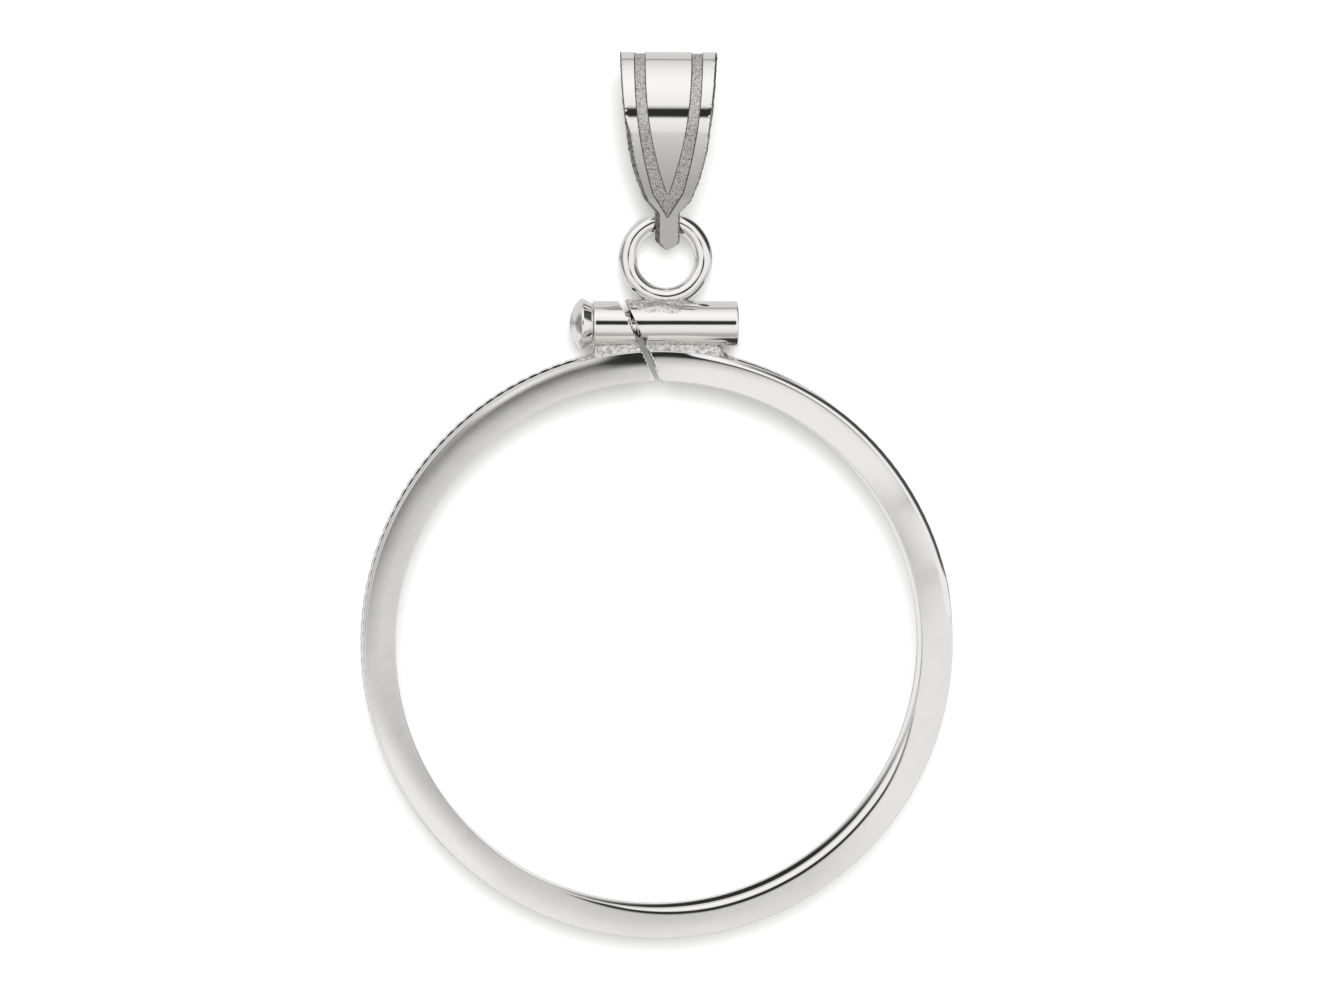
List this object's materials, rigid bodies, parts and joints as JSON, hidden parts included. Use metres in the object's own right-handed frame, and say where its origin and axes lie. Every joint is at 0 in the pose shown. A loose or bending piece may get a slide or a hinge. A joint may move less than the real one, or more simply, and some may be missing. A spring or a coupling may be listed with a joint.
{
  "type": "coin bezel pendant",
  "caption": "Round split-rim coin bezel with grooved channel, screw barrel across a diagonal slit, soldered jump ring and tapered loop bail with matt V bands.",
  "frame": {"origin": "rim's axis at the back face, which lies on the floor", "axes": "+Z along the rim's axis out of the front face, +Y towards the bail, +X to the right seen from the front"},
  "size_m": [0.029, 0.0435, 0.005],
  "materials": {
    "bezel_white_gold": "polished rhodium-plated white gold, grainy solder at the joints",
    "screw_white_gold": "polished rhodium-plated white gold",
    "bail_white_gold": "polished rhodium-plated white gold with sand-blasted bands"
  },
  "bodies": {
    "bezel": {"split_bezel": "bezel_white_gold"},
    "screw": {"clamp_screw": "screw_white_gold"},
    "bail": {"bail": "bail_white_gold"}
  },
  "joints": [
    {"name": "bail_swing", "type": "hinge", "parent": "bezel", "child": "bail", "pos_m": [0.00035, 0.02073, 0.0015], "axis": [1, 0, 0], "range_deg": [-125, 115]},
    {"name": "screw_out", "type": "slide", "parent": "bezel", "child": "screw", "axis": [-1, 0, 0], "range_m": [0, 0.0072]}
  ]
}
